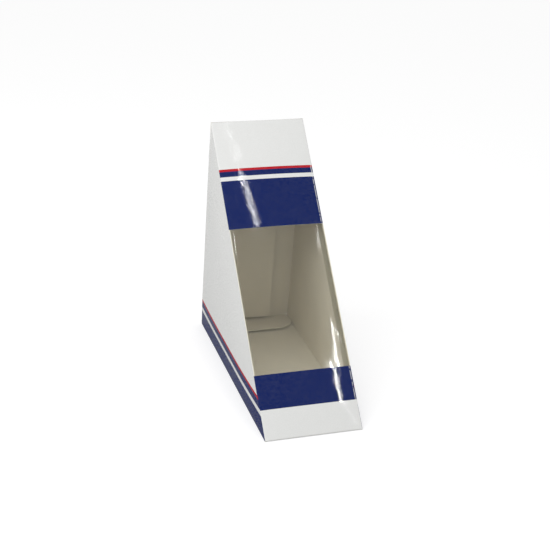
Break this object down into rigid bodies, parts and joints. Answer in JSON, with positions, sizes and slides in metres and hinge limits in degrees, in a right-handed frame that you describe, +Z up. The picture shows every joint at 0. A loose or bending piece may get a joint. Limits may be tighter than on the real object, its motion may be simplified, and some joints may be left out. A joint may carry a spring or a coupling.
{
  "type": "windowed sandwich wedge carton",
  "caption": "Triangular wedge carton folded from printed board, with a clear film window in its sloping front and a tuck-in back lid.",
  "frame": {"origin": "centre of the pack's box, on the table", "axes": "+Z up, +Y towards the upright back, the window faces -Y, X across the pack"},
  "size_m": [0.052, 0.1224, 0.1227],
  "materials": {
    "printed_board": "gloss-coated folding boxboard, white outside with navy bands edged in red, uncoated warm grey inside",
    "white_board": "gloss-coated white outside, uncoated warm grey inside",
    "clear_film": "thin clear window film, glossy and slightly rippled"
  },
  "bodies": {
    "pack": {"carton": "printed_board", "window_film": "clear_film"},
    "back_lid": {"lid": "white_board"}
  },
  "joints": [
    {"name": "lid_hinge", "type": "hinge", "parent": "pack", "child": "back_lid", "pos_m": [0, 0.06102, 0.12252], "axis": [1, 0, 0], "range_deg": [0, 135]}
  ]
}
